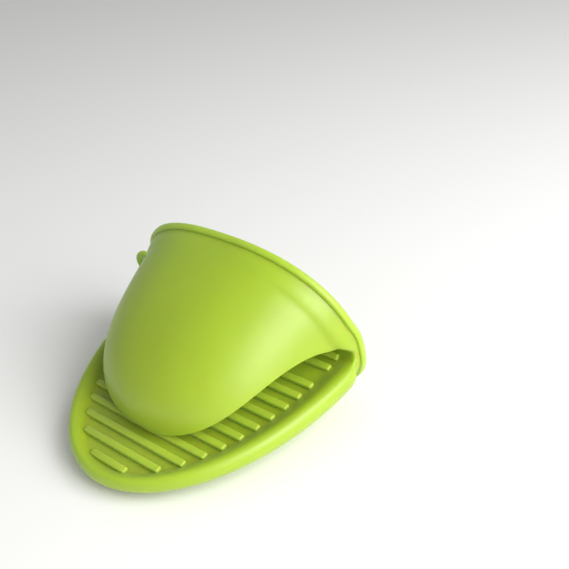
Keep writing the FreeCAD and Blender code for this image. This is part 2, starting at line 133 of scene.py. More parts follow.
@dataclass(frozen=True)
class MittSizes:
    """Driving sizes of the mitt in millimetres and degrees.

    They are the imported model's, but for the looks rib_width is larger and thumb_arch smaller.
    """

    finger_length: float = 96.5
    finger_half: float = 56.5
    cuff_half: float = 53.5
    cuff_top: float = 47.0
    cuff_drop: float = 25.0
    panel_slope: float = 11.0
    straight_run: float = 10.0
    wall: float = 2.8
    border_width: float = 9.5
    border_tip_width: float = 5.6
    border_crest: float = 3.8
    rib_pitch: float = 6.5
    rib_width: float = 2.7
    rib_height: float = 2.0
    rib_end_gap: float = 1.3
    rib_tip_inset: float = 8.5
    rib_break: float = 4.2
    thumb_length: float = 71.0
    thumb_half: float = 46.5
    thumb_gap: float = 2.2
    thumb_arch: float = 9.8
    thumb_nose: float = 2.4
    thumb_rib_height: float = 1.6
    thumb_rib_margin: float = 7.0
    cuff_lean: float = 8.0
    mouth_depth: float = 4.2
    mouth_height: float = 9.2
    bead_length: float = 3.0
    bead_proud: float = 1.2
    loop_hole: float = 3.9
    loop_ring: float = 3.7
    loop_thickness: float = 2.8
    loop_level: float = 7.0

    @property
    def mouth_radius(self) -> float:
        """Radius of the bend in the mouth's valley."""
        return self.mouth_height / 2

    @property
    def mouth_centre(self) -> float:
        """Cuff rim to the centre of that bend."""
        return self.mouth_depth + self.mouth_radius

    @property
    def hinge_inset(self) -> float:
        """Cuff rim to the hinge line, inside the web."""
        return self.mouth_depth - self.wall / 2

    @property
    def hinge_height(self) -> float:
        """Grip panel to the hinge line."""
        return self.mouth_radius

    @property
    def hinge_zone(self) -> Pair:
        """Heights between which the silicone at the cuff bends: the crest and the lip."""
        return self.border_crest, self.mouth_height


@dataclass(frozen=True)
class PocketFrame:
    """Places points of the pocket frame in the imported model's frame."""

    sizes: MittSizes
    hinge: Vector

    def turned(self, point: Point, angle: float) -> Pair:
        """Turn a point about the hinge line.

        Args:
            point: x, distance from the cuff rim and height over the panel, in mm.
            angle: degrees.

        Returns:
            How far the point then is behind the hinge and above it.
        """
        way = math.radians(angle)
        back = self.sizes.hinge_inset - point[1]
        up = point[2] - self.sizes.hinge_height
        return (
            back * math.cos(way) - up * math.sin(way),
            back * math.sin(way) + up * math.cos(way),
        )

    def place(self, point: Point) -> Vector:
        """Turn a pocket point in mm into metres in the model's frame."""
        back, up = self.turned(point, self.sizes.panel_slope)
        return self.hinge + Vector((point[0], back, up)) * MM

    def leaned(self, point: Point, share: float = 1.0) -> Point:
        """Turn a thumb-side point by a share of the resting mitt's lean."""
        back, up = self.turned(point, self.sizes.cuff_lean * share)
        return (point[0], self.sizes.hinge_inset - back, self.sizes.hinge_height + up)


# ---------------------------------------------------------------- tools


def deselect() -> None:
    """Leave object mode with nothing selected."""
    if bpy.context.mode != "OBJECT":
        bpy.ops.object.mode_set(mode="OBJECT")
    bpy.ops.object.select_all(action="DESELECT")


def activate(piece: bpy.types.Object) -> None:
    """Leave object mode with one piece selected and active."""
    deselect()
    piece.select_set(True)
    bpy.context.view_layer.objects.active = piece


def start_piece(name: str) -> bpy.types.Object:
    """Name the primitive that was just added and its mesh.

    Args:
        name: the piece's name.

    Returns:
        The primitive.
    """
    piece = bpy.context.active_object
    piece.name = name
    piece.data.name = name
    return piece


def round_off(piece: bpy.types.Object) -> None:
    """Round a cage off with a subdivision surface and apply it."""
    modifier = piece.modifiers.new("round", "SUBSURF")
    modifier.levels = CAGE_LEVELS
    modifier.render_levels = CAGE_LEVELS
    activate(piece)
    bpy.ops.object.modifier_apply(modifier=modifier.name)


def face_outwards(piece: bpy.types.Object) -> None:
    """Turn the faces of a closed piece outwards."""
    activate(piece)
    bpy.ops.object.mode_set(mode="EDIT")
    bpy.ops.mesh.select_all(action="SELECT")
    bpy.ops.mesh.normals_make_consistent(inside=False)
    bpy.ops.object.mode_set(mode="OBJECT")


def dress(piece: bpy.types.Object, material: bpy.types.Material) -> None:
    """Shade a piece smoothly all over and give it its finish."""
    activate(piece)
    bpy.ops.object.shade_smooth()
    piece.data.materials.append(material)


def cage_of(piece: bpy.types.Object) -> bmesh.types.BMesh:
    """The edit-mode mesh of a piece with its lookup tables ready."""
    cage = bmesh.from_edit_mesh(piece.data)
    cage.verts.ensure_lookup_table()
    cage.edges.ensure_lookup_table()
    return cage


def select_loop(piece: bpy.types.Object, loop: Sequence[int]) -> None:
    """Select a closed loop of edges.

    Args:
        piece: the cage, in edit mode.
        loop: corners of the loop, in order.
    """
    bpy.ops.mesh.select_all(action="DESELECT")
    cage = cage_of(piece)
    for one, two in zip(loop, list(loop[1:]) + [loop[0]]):
        edge = cage.edges.get((cage.verts[one], cage.verts[two]))
        edge.select_set(True)
    bmesh.update_edit_mesh(piece.data)


def extrude_loop(
    piece: bpy.types.Object, loop: Sequence[int], spots: Sequence[Vector]
) -> list[int]:
    """Extrude a loop of edges and put its new corners where they belong.

    Args:
        piece: the cage, in edit mode.
        loop: corners of the loop, in order.
        spots: the new place of each corner.

    Returns:
        The new loop's corners, in the same order.
    """
    select_loop(piece, loop)
    bpy.ops.mesh.extrude_region_move()
    cage = cage_of(piece)
    fresh = []
    for corner, spot in zip(loop, spots):
        old = cage.verts[corner]
        new = next(e.other_vert(old) for e in old.link_edges if e.other_vert(old).select)
        new.co = spot
        fresh.append(new.index)
    bmesh.update_edit_mesh(piece.data)
    return fresh


# ---------------------------------------------------------------- finishes


def linear(colour: str) -> tuple[float, float, float, float]:
    """Turn an sRGB hex colour into linear RGBA.

    Args:
        colour: six hex digits.

    Returns:
        The colour as Blender's sockets take it.
    """
    channels = [int(colour[i : i + 2], 16) / 255 for i in (0, 2, 4)]
    flat = [c / 12.92 if c <= 0.04045 else ((c + 0.055) / 1.055) ** 2.4 for c in channels]
    return (*flat, 1.0)


def add_node(
    tree: bpy.types.NodeTree, kind: str, settings: dict | None = None, links: dict | None = None
) -> bpy.types.Node:
    """Add a node with its settings and links.

    Args:
        tree: the material's node tree.
        kind: the node's type.
        settings: values by property name, or by an input's name or number.
        links: output sockets by an input's name or number.

    Returns:
        The new node.
    """
    node = tree.nodes.new(kind)
    for name, value in (settings or {}).items():
        if isinstance(name, int) or name in node.inputs:
            node.inputs[name].default_value = value
        else:
            setattr(node, name, value)
    for name, socket in (links or {}).items():
        tree.links.new(socket, node.inputs[name])
    return node


def start_material(name: str) -> bpy.types.Material:
    """Add a material with an empty node tree.

    Args:
        name: the material's name.

    Returns:
        The material.
    """
    material = bpy.data.materials.new(name)
    material.use_nodes = True
    material.node_tree.nodes.clear()
    return material


@dataclass(frozen=True)
class MouldedSilicone:
    """Platinum-cured silicone, pigmented lime, from a lightly blasted mould.

    The pigment is thin, so light goes a few millimetres in and comes out greener. Hollows where
    walls face each other are painted darker and warmer as painted shade, and sharp edges are
    painted paler as painted light. The blasted mould leaves a soft broad gloss.
    """

    name: str = "moulded_silicone"
    deep: str = "92A91A"
    pale: str = "A2BB2A"
    painted_hollow_shade: str = "9A9A0E"  # painted shade: hollows are painted this darker, warmer colour for the shade there and for the light that crosses facing walls
    edge: str = "B9D352"  # painted light: sharp edges are painted this paler colour for the light that thin edges pass on
    sheen: str = "E6FFD0"
    painted_shade_span: Pair = (0.44, 0.5)  # pointiness, which is 0.5 where it is flat
    painted_edge_light_span: Pair = (0.51, 0.6)
    painted_edge_light_share: float = 0.75  # of the painted edge light at the sharpest edge
    cloud_size: float = 34.0  # mm, drift of the pigment across the moulding
    grain_size: float = 0.9  # mm, drawn coarser than the real 0.1 mm blast so that it shows
    grain_height: float = 0.05  # mm
    grain_strength: float = 0.12
    roughness: float = 0.4
    roughness_drift: Pair = (0.04, 0.05)  # smoother and rougher with the grain
    ior: float = 1.41
    glow_depth: float = 7.0  # mm, how far green light goes in
    glow_reach: tuple[float, float, float] = (0.55, 1.0, 0.12)  # of red, green and blue light

    def make(self) -> bpy.types.Material:
        """Build the node tree.

        Returns:
            The finished material.
        """
        material = start_material(self.name)
        tree = material.node_tree
        place = add_node(tree, "ShaderNodeTexCoord").outputs["Object"]
        clouds = add_node(
            tree,
            "ShaderNodeTexNoise",
            {"Scale": 1 / (self.cloud_size * MM), "Detail": 2.0, "Roughness": 0.5},
            {"Vector": place},
        )
        tint = add_node(
            tree,
            "ShaderNodeMix",
            {"data_type": "RGBA", MIX_A: linear(self.deep), MIX_B: linear(self.pale)},
            {"Factor": clouds.outputs["Fac"]},
        )
        pointiness = add_node(tree, "ShaderNodeNewGeometry").outputs["Pointiness"]
        # Painted shade: where pointiness is low, in hollows, the colour is painted darker and
        # warmer.
        painted_shade_mask = add_node(
            tree,
            "ShaderNodeMapRange",
            {"From Min": self.painted_shade_span[0], "From Max": self.painted_shade_span[1]},
            {"Value": pointiness},
        )
        # Painted light: where pointiness is high, on sharp edges, the colour is painted paler.
        edges = add_node(
            tree,
            "ShaderNodeMapRange",
            {
                "From Min": self.painted_edge_light_span[0],
                "From Max": self.painted_edge_light_span[1],
                "To Max": self.painted_edge_light_share,
            },
            {"Value": pointiness},
        )
        with_painted_shade = add_node(
            tree,
            "ShaderNodeMix",
            {"data_type": "RGBA", MIX_A: linear(self.painted_hollow_shade)},
            {"Factor": painted_shade_mask.outputs["Result"], MIX_B: tint.outputs[MIX_RESULT]},
        )
        colour = add_node(
            tree,
            "ShaderNodeMix",
            {"data_type": "RGBA", MIX_B: linear(self.edge)},
            {"Factor": edges.outputs["Result"], MIX_A: with_painted_shade.outputs[MIX_RESULT]},
        )
        grain = add_node(
            tree,
            "ShaderNodeTexNoise",
            {"Scale": 1 / (self.grain_size * MM), "Detail": 3.0, "Roughness": 0.6},
            {"Vector": place},
        )
        gloss = add_node(
            tree,
            "ShaderNodeMapRange",
            {
                "From Min": 0.3,
                "From Max": 0.7,
                "To Min": self.roughness - self.roughness_drift[0],
                "To Max": self.roughness + self.roughness_drift[1],
            },
            {"Value": grain.outputs["Fac"]},
        )
        bump = add_node(
            tree,
            "ShaderNodeBump",
            {"Strength": self.grain_strength, "Distance": self.grain_height * MM},
            {"Height": grain.outputs["Fac"]},
        )
        shader = add_node(
            tree,
            "ShaderNodeBsdfPrincipled",
            {
                "IOR": self.ior,
                "Specular IOR Level": 0.75,
                "Sheen Weight": 0.12,
                "Sheen Roughness": 0.5,
                "Sheen Tint": linear(self.sheen),
                "Subsurface Weight": 0.7,
                "Subsurface Radius": self.glow_reach,
                "Subsurface Scale": self.glow_depth * MM,
            },
            {
                "Base Color": colour.outputs[MIX_RESULT],
                "Roughness": gloss.outputs["Result"],
                "Normal": bump.outputs["Normal"],
            },
        )
        add_node(tree, "ShaderNodeOutputMaterial", links={"Surface": shader.outputs["BSDF"]})
        return material


@dataclass(frozen=True)
class PaintedFloor:
    """A matt white studio floor."""

    name: str = "studio_floor"
    colour: str = "F4F4F2"

    def make(self) -> bpy.types.Material:
        """Build the node tree.

        Returns:
            The finished material.
        """
        material = start_material(self.name)
        tree = material.node_tree
        shader = add_node(
            tree,
            "ShaderNodeBsdfPrincipled",
            {"Base Color": linear(self.colour), "Roughness": 0.9, "Specular IOR Level": 0.1},
        )
        add_node(tree, "ShaderNodeOutputMaterial", links={"Surface": shader.outputs["BSDF"]})
        return material


# ---------------------------------------------------------------- the moulded skin


@dataclass(frozen=True)
class FacePlan:
    """How one face of the wall leaves the cuff, in mm.

    The corner is the mouth's closed end on the +X side. The columns low and high leave it, down to
    the border and up to the lip.
    """

    rings: tuple[float, ...]  # distances of the rings round the cuff from its rim
    narrowing: float  # of the thumb side, from one ring to the next
    corner: Point
    low: tuple[Point, Point]
    high: tuple[Point, Point]


FACES = {
    Wall.OUTER: FacePlan(
        rings=(1.0, 3.3, 5.4),
        narrowing=0.7,
        corner=(52.7, 4.9, 5.0),
        low=((52.9, 6.3, 2.4), (52.5, 8.3, 2.5)),
        high=((51.2, 6.0, 8.2), (49.6, 8.2, 10.6)),
    ),
    Wall.INNER: FacePlan(
        rings=(1.0, 1.5, 2.2),
        narrowing=0.0,
        corner=(50.0, 2.1, 5.0),
        low=((50.2, 3.6, 0.2), (50.4, 6.2, -1.6)),
        high=((48.7, 3.6, 10.4), (47.2, 6.4, 13.6)),
    ),
}


@dataclass
class MouldedSkin:
    """Both pockets, the web between them and the cuff, as one closed wall of silicone.

    The cage starts as a circle round the cuff. It is extruded ring by ring to the corners of the
    mouth, where the web closes it into two loops, and each loop is extruded down its pocket.
    """

    sizes: MittSizes
    pocket: PocketFrame
    power: float = 2.45  # squareness of the cuff's oval, where 2 is an ellipse
    dome_power: float = 2.3  # the same for the dome, away from the cuff
    dome_change: Pair = (8.0, 40.0)  # mm from the rim, from the one to the other
    side_power: float = 1.9  # the same for the finger pocket's back, at its side
    tip_power: float = 2.7  # and at its tip
    mid_level: float = -3.0  # side of the finger pocket, below its widest line, by the cuff
    mid_level_tip: float = -2.4
    cuff_levels: tuple[float, ...] = (2.0, -2.5, -7.0)  # columns down the side of the cuff
    back_inset: float = 1.2  # mm, the back stands inside the outline of the border
    side_inset: float = 0.9  # mm, and so does the side
    lining_lift: float = 0.2  # share of the wall by which the lining's side is higher
    narrow_zone: float = 0.3  # share of the cuff's quarter over which a ring is drawn in
    low_roll: float = 0.82  # height of the border's roll at the mouth, as a share of the tip's
    low_roll_end: float = 24.0  # degrees round the outline, where it has its full height
    arch_skew: float = 0.75  # below 1 the thumb's arch peaks nearer the cuff
    outline_power: float = 3.2  # bluntness of the dome's outline along the mitt
    nose_power: float = 2.2  # and across it
    flare_start: float = 1.0  # mm from the rim
    flare_length: float = 13.0  # mm in which the cuff's flare fades to about a third
    base_drop: float = 2.0  # mm, the dome's widest line lies under the hinge line
    nose_half: float = 0.5  # mm, least half width of a ring of the thumb pocket
    nose_rise: float = 0.8  # mm, and its least height
    lip_column: float = 2.2  # mm from the lip to the first column of the gripping wall
    lip_share: float = 0.2  # the most that this may be of the half width
    lip_second: float = 2.3  # from the lip to the second column, in the same steps
    web_margin: float = 1.5  # mm from the border to the straight part of the web
    web_ends: tuple[Pair, ...] = ((0.66, 0.8), (0.33, 0.32))  # shares of the corner they keep
    finger_bend: tuple[Pair, ...] = ((0.3, -30.0), (0.65, -62.0))  # share of way, degrees
    thumb_bend: tuple[Pair, ...] = ((0.25, 30.0), (0.6, 62.0))
    apart: float = 4.0  # mm past the bend's centre, where the two sides have no more in common
    merge: float = 0.02  # mm
    tip_angles: tuple[float, ...] = (7, 15, 24, 33, 42, 51, 60, 68, 75, 81, 86, 90)
    thumb_stations: tuple[float, ...] = (
        *(11, 15, 20, 26, 33, 40, 47, 53, 58, 62),
        *(65.2, 67.8, 69.6, 70.7),
    )
    spread: tuple[float, ...] = (0, 0.035, 0.10, 0.20, 0.31, 0.43, 0.55, 0.67, 0.78, 0.89, 1)

    # ------------------------------------------------------------ surfaces

    def inset(self, wall: Wall) -> float:
        """How far a face of the wall stands inside the outer one."""
        return 0.0 if wall is Wall.OUTER else self.sizes.wall

    def table_level(self, t: float) -> float:
        """Height of the resting plane in the pocket frame."""
        return -self.sizes.cuff_drop + t * math.tan(math.radians(self.sizes.panel_slope))

    def mouth_level(self, t: float) -> float:
        """Height of the thumb's gripping wall before the lean.

        Args:
            t: distance from the rim.

        Returns:
            The height over the grip panel.
        """
        s = self.sizes
        lean = math.radians(s.cuff_lean)
        reach = s.thumb_length - s.hinge_inset
        tip = (s.thumb_gap - s.hinge_height + reach * math.sin(lean)) / math.cos(lean)
        tip += s.hinge_height
        share = (t - s.mouth_centre) / (s.thumb_length - s.mouth_centre)
        skewed = max(share, 0.0) ** self.arch_skew
        return mix(s.mouth_height, tip, share) + 4 * s.thumb_arch * skewed * (1 - skewed)

    def thumb_half(self, t: float) -> float:
        """Half width of the dome at its foot, with the flare at the cuff.

        Args:
            t: distance from the rim.

        Returns:
            The half width.
        """
        s = self.sizes
        along = min(t / s.thumb_length, 1)
        body = (1 - along**self.outline_power) ** (1 / self.nose_power)
        flare = math.exp(-max(t - self.flare_start, 0) / self.flare_length)
        return s.thumb_half * body + (s.cuff_half - s.thumb_half) * flare * body

    def dome_top(self, t: float) -> float:
        """Height of the dome over the middle plane, before the lean."""
        s = self.sizes
        nose = self.mouth_level(s.thumb_length) + s.thumb_nose
        return nose + (s.cuff_top - nose) * math.sqrt(1 - min(t / s.thumb_length, 1) ** 2)

    # ------------------------------------------------------------ rings round the cuff

    def cuff_lower(self, t: float, inset: float) -> list[Point]:
        """The finger side of a ring round the cuff, from the mouth's corner to the back.

        Args:
            t: distance from the rim.
            inset: how far the ring stands inside the outer face.

        Returns:
            The half outline.
        """
        s = self.sizes
        half = s.cuff_half - inset
        drop = s.hinge_height - self.table_level(t) - inset
        points = []
        for w in (s.hinge_height, *self.cuff_levels):
            share = (s.hinge_height - w) / drop
            points.append((half * (1 - share**self.power) ** (1 / self.power), t, w))
        first = math.asin(share ** (self.power / 2))
        steps = HALF - 3
        for step in range(1, steps + 1):
            angle = first + (math.pi / 2 - first) * step / steps
            x = half * max(math.cos(angle), 0.0) ** (2 / self.power)
            points.append((x, t, s.hinge_height - drop * squared_off(math.sin(angle), self.power)))
        return points

    def cuff_upper(self, t: float, inset: float, narrowing: float) -> list[Point]:
        """The thumb side of a ring round the cuff, from the mouth's corner to the top.

        Args:
            t: distance from the rim.
            inset: how far the ring stands inside the outer face.
            narrowing: how much more it is drawn in, away from the corner.

        Returns:
            The half outline.
        """
        s = self.sizes
        tall = self.dome_top(t) - s.hinge_height - inset
        points = []
        for share in self.spread:
            angle = math.pi / 2 * share
            half = s.cuff_half - inset - narrowing * smooth(0.0, self.narrow_zone, share)
            x = half * squared_off(math.cos(angle), self.power) if share < 1 else 0.0
            point = (x, t, s.hinge_height + tall * squared_off(math.sin(angle), self.power))
            points.append(self.pocket.leaned(point, smooth(0.0, LEAN_ZONE, share)))
        return points

    # ------------------------------------------------------------ the finger pocket

    def finger_ring(self, angle: float, wall: Wall) -> tuple[list[Point], list[Point]]:
        """A ring of the finger pocket at an angle round the outline, 0 at the side, 90 at the tip.

        Args:
            angle: degrees round the outline.
            wall: the outer or the inner face.

        Returns:
            Half outlines from the border's crest over the back, and from it over the panel.
        """
        s = self.sizes
        inset = self.inset(wall)
        sine = math.sin(math.radians(angle))
        cosine = math.cos(math.radians(angle)) if angle < 90 else 0.0
        reach = s.finger_length - s.straight_run
        # Points of the border's roll, then of the lining: mm in from the outline, and height.
        if wall is Wall.OUTER:
            narrow = s.border_tip_width / s.border_width
            fade = mix(self.low_roll, 1.0, smooth(0.0, self.low_roll_end, angle))
            back = ((4.4, 3.4 * fade), (2.1, 2.9 * fade), (0.4, 0.4))
            top = ((6.4, 2.9 * fade), (8.4, 1.8 * fade), (10.3, 0.7), (12.4, 0.05))
        else:
            narrow = 1.0
            back = ((inset + 2.4, -inset), (inset + 0.7, -inset - 0.9), (inset, -inset - 2.6))
            top = [(inward, -inset) for inward in (inset + 4.4, inset + 6.4, inset + 8.4, 13.6)]

        def at(inward: float, w: float) -> Point:
            """A point a little inside the outline."""
            deep = reach - inward * narrow
            return ((s.finger_half - inward) * cosine, s.straight_run + deep * sine, w)

        lower = [at(inward, w) for inward, w in back]
        middle = mix(self.mid_level, self.mid_level_tip, sine) + inset * self.lining_lift
        lower.append(at(inset + self.side_inset, middle))
        power = mix(self.side_power, self.tip_power, sine**2)
        steps = HALF - 3
        for step in range(1, steps + 1):
            way = math.pi / 2 * step / steps
            out = squared_off(math.cos(way), power) if step < steps else 0.0
            x = (s.finger_half - inset - self.back_inset) * out * cosine
            t = s.straight_run + (reach - inset - self.back_inset) * out * sine
            floor = self.table_level(t) + inset
            lower.append((x, t, middle + (floor - middle) * squared_off(math.sin(way), power)))
        upper = [lower[0]] + [at(inward, w) for inward, w in top]
        edge_in = top[-1][0]
        steps = HALF - 4
        for step in range(1, steps + 1):
            out = 1 - step / steps
            x = (s.finger_half - edge_in) * out * cosine
            upper.append((x, s.straight_run + (reach - edge_in * narrow) * out * sine, -inset))
        return lower, upper

    # ------------------------------------------------------------ the thumb pocket

    def thumb_ring(self, t: float, wall: Wall) -> tuple[list[Point], list[Point]]:
        """A ring of the thumb pocket at a distance from the cuff rim.

        Args:
            t: distance from the rim.
            wall: the outer or the inner face.

        Returns:
            Half outlines from the lip over the dome, and from it over the gripping wall.
        """
        s = self.sizes
        inset = self.inset(wall)
        base = s.hinge_height - self.base_drop
        half = max(self.thumb_half(t) - inset, self.nose_half)
        grip = self.mouth_level(t) + inset
        rise = max(self.dome_top(t) - inset, grip + self.nose_rise) - base
        power = mix(self.power, self.dome_power, smooth(*self.dome_change, t))
        first = math.asin(min((grip - base) / rise, 1) ** (power / 2))
        dome = []
        for share in self.spread:
            angle = first + (math.pi / 2 - first) * share
            x = half * squared_off(math.cos(angle), power) if share < 1 else 0.0
            dome.append((x, t, base + rise * squared_off(math.sin(angle), power)))
        lip = dome[0][0]
        near = min(self.lip_column, lip * self.lip_share)
        last = lip - self.lip_second * near
        across = [lip - near, last]
        across += [last * (1 - step / (HALF - 2)) for step in range(1, HALF - 1)]
        gripping = [dome[0]] + [(x, t, grip) for x in across]
        lean = self.pocket.leaned
        return [lean(point) for point in dome], [lean(point) for point in gripping]

    # ------------------------------------------------------------ the mouth

    def web_line(self, turn: float, corner: Point, wall: Wall) -> list[Point]:
        """A line across the bend of the mouth's valley.

        Args:
            turn: degrees round the bend: 0 at the hinge line, -90 on the panel, 90 on the thumb.
            corner: where the line starts, at the side of the mouth.
            wall: the mouth's face or the hand's face.

        Returns:
            The half line from the corner to the middle plane.
        """
        s = self.sizes
        radius = s.mouth_radius + self.inset(wall)
        way = math.radians(turn)
        t = s.mouth_centre - radius * math.cos(way)
        w = s.hinge_height + radius * math.sin(way)
        inner = s.finger_half - s.border_width - self.web_margin
        points = [corner]
        for share, ease in self.web_ends:
            x = mix(inner, corner[0], share)
            points.append((x, mix(t, corner[1], ease), mix(w, corner[2], ease)))
        steps = HALF - 3
        return points + [(inner * (1 - step / steps), t, w) for step in range(steps + 1)]

    # ------------------------------------------------------------ building the cage

    def build_wall(self, name: str, wall: Wall) -> bpy.types.Object:
        """Extrude one face of the moulding, from the cuff's rim to both closed tips.

        Args:
            name: the piece's name.
            wall: the outer or the inner face.

        Returns:
            The cage as an object, with its thumb side in a vertex group.
        """
        plan, inset = FACES[wall], self.inset(wall)
        deselect()
        bpy.ops.mesh.primitive_circle_add(vertices=4 * HALF, radius=self.sizes.cuff_half * MM)
        piece = start_piece(name)
        bpy.ops.object.mode_set(mode="EDIT")
        loop = list(range(4 * HALF))
        for number, t in enumerate(plan.rings):
            lower = self.cuff_lower(t, inset)
            if t == plan.rings[-1]:
                lower[0] = plan.corner
            spots = self.ring_spots(lower, self.cuff_upper(t, inset, plan.narrowing * number))
            if number:
                loop = extrude_loop(piece, loop, spots)
            else:
                cage = cage_of(piece)
                for corner, spot in zip(loop, spots):
                    cage.verts[corner].co = spot
                bmesh.update_edit_mesh(piece.data)
        right, left = loop[0], loop[2 * HALF]
        web = self.add_web(piece, right, left, wall)
        finger = loop[: 2 * HALF + 1] + web[::-1]
        thumb = [right] + loop[: 2 * HALF : -1] + [left] + web[::-1]
        self.extrude_finger(piece, finger, wall)
        known = len(cage_of(piece).verts)
        self.extrude_thumb(piece, thumb, wall)
        total = len(cage_of(piece).verts)
        bpy.ops.object.mode_set(mode="OBJECT")
        group = piece.vertex_groups.new(name="thumb")
        group.add(list(range(known, total)), 1.0, "REPLACE")
        return piece

    def add_web(self, piece: bpy.types.Object, right: int, left: int, wall: Wall) -> list[int]:
        """Join the mouth's two corners with the line of the web.

        Args:
            piece: the cage, in edit mode.
            right: the corner of the mouth on the +X side.
            left: the other corner.
            wall: the outer or the inner face.

        Returns:
            The line's corners between the two ends, from right to left.
        """
        bpy.ops.mesh.select_all(action="DESELECT")
        cage = cage_of(piece)
        known = len(cage.verts)
        cage.verts[right].select_set(True)
        cage.verts[left].select_set(True)
        bmesh.update_edit_mesh(piece.data)
        bpy.ops.mesh.edge_face_add()
        bpy.ops.mesh.subdivide(number_cuts=2 * HALF - 1)
        cage = cage_of(piece)
        line = sorted(
            (v for v in cage.verts if v.index >= known), key=lambda v: v.co.x, reverse=True
        )
        spots = mirrored(self.web_line(0.0, FACES[wall].corner, wall))[1:-1]
        for vertex, spot in zip(line, spots):
            vertex.co = self.pocket.place(spot)
        order = [vertex.index for vertex in line]
        bmesh.update_edit_mesh(piece.data)
        return order

    def ring_spots(self, outline: Sequence[Point], across: Sequence[Point]) -> list[Vector]:
        """Places of a ring: round by the first half outline, then back by the second."""
        ring = mirrored(outline) + list(reversed(mirrored(across)[1:-1]))
        return [self.pocket.place(point) for point in ring]

    def extrude_finger(self, piece: bpy.types.Object, loop: list[int], wall: Wall) -> None:
        """Extrude the finger pocket: down the bend, then round the outline to the tip.

        Args:
            piece: the cage, in edit mode.
            loop: corners of the loop that the web closes on this side.
            wall: the outer or the inner face.
        """
        plan = FACES[wall]
        section, panel = self.finger_ring(0.0, wall)
        for corner, (share, turn) in zip(plan.low, self.finger_bend):
            t = mix(plan.rings[-1], self.sizes.straight_run, share)
            cuff = self.cuff_lower(t, self.inset(wall))
            ease = smooth(0.0, 1.0, share)
            outline = [
                (mix(a[0], b[0], ease), t, mix(a[2], b[2], ease)) for a, b in zip(cuff, section)
            ]
            outline[0] = corner
            across = self.web_line(turn, corner, wall)
            loop = extrude_loop(piece, loop, self.ring_spots(outline, across))
        loop = extrude_loop(piece, loop, self.ring_spots(section, panel))
        for angle in self.tip_angles:
            spots = self.ring_spots(*self.finger_ring(angle, wall))
            loop = extrude_loop(piece, loop, spots)

    def extrude_thumb(self, piece: bpy.types.Object, loop: list[int], wall: Wall) -> None:
        """Extrude the thumb pocket: up the bend, then along the dome to the closed nose.

        Args:
            piece: the cage, in edit mode.
            loop: corners of the loop that the web closes on this side.
            wall: the outer or the inner face.
        """
        plan, inset = FACES[wall], self.inset(wall)
        first = self.thumb_stations[0]
        dome = self.thumb_ring(first, wall)[0]
        narrowing = plan.narrowing * (len(plan.rings) - 1)
        for corner, (share, turn) in zip(plan.high, self.thumb_bend):
            cuff = self.cuff_upper(mix(plan.rings[-1], first, share), inset, narrowing)
            ease = smooth(0.0, 1.0, share)
            outline = [
                (mix(a[0], b[0], ease), mix(a[1], b[1], share), mix(a[2], b[2], ease))
                for a, b in zip(cuff, dome)
            ]
            outline[0] = corner
            across = self.web_line(turn, corner, wall)
            loop = extrude_loop(piece, loop, self.ring_spots(outline, across))
        for t in self.thumb_stations:
            rings = self.thumb_ring(t - inset * t / self.sizes.thumb_length, wall)
            loop = extrude_loop(piece, loop, self.ring_spots(*rings))
        cage = cage_of(piece)
        ring = [cage.verts[index] for index in loop]
        for step in range(2 * HALF):
            corners = (ring[step], ring[step + 1], ring[-step - 1], ring[-step])
            cage.faces.new(list(dict.fromkeys(corners)))
        bmesh.update_edit_mesh(piece.data)

    def build(self, material: bpy.types.Material) -> bpy.types.Object:
        """Join the two faces at the cuff's rim, round them off and dress the skin.

        Args:
            material: the silicone.

        Returns:
            The finished skin.
        """
        outer = self.build_wall("mitt_skin", Wall.OUTER)
        inner = self.build_wall("mitt_lining", Wall.INNER)
        activate(outer)
        inner.select_set(True)
        bpy.ops.object.join()
        bpy.ops.object.mode_set(mode="EDIT")
        bpy.ops.mesh.select_all(action="SELECT")
        bpy.ops.mesh.remove_doubles(threshold=self.merge * MM)
        bpy.ops.mesh.select_all(action="DESELECT")
        bpy.ops.mesh.select_mode(type="EDGE")
        for edge in cage_of(outer).edges:
            if edge.is_boundary:
                edge.select_set(True)
        bmesh.update_edit_mesh(outer.data)
        bpy.ops.mesh.bridge_edge_loops()
        bpy.ops.mesh.select_mode(type="VERT")
        face_outwards(outer)
        round_off(outer)
        dress(outer, material)
        return outer

    def bend_with_joint(self, skin: bpy.types.Object) -> None:
        """Work out how far each corner of the skin would follow the thumb side at the hinge line.
        The shares are not kept: the corners are put back where they were, and the skin does not
        bend.

        The nose of the thumb rests lower than the border beside it, so no straight line tells the
        two sides apart.

        Args:
            skin: the finished skin.
        """
        group = skin.vertex_groups["thumb"].index
        rest = [vertex.co.copy() for vertex in skin.data.vertices]
        origin = self.pocket.place((0, 0, 0))
        up = self.pocket.place((0, 0, 1)) - origin
        along = self.pocket.place((0, 1, 0)) - origin
        low, high = self.sizes.hinge_zone
        for vertex in skin.data.vertices:
            offset = vertex.co - origin
            t = offset.dot(along) / along.length_squared
            w = offset.dot(up) / up.length_squared
            thumb = any(item.group == group and item.weight > 0.5 for item in vertex.groups)
            share = (w - low) / (high - low)
            if t > self.sizes.mouth_centre + self.apart:
                share = 1.0 if thumb else 0.0
            vertex.co = (0, 0, min(max(share, 0.0), 1.0))
        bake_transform(skin)
        for vertex, spot in zip(skin.data.vertices, rest):
            vertex.co = spot


# ---------------------------------------------------------------- the cuff's bead


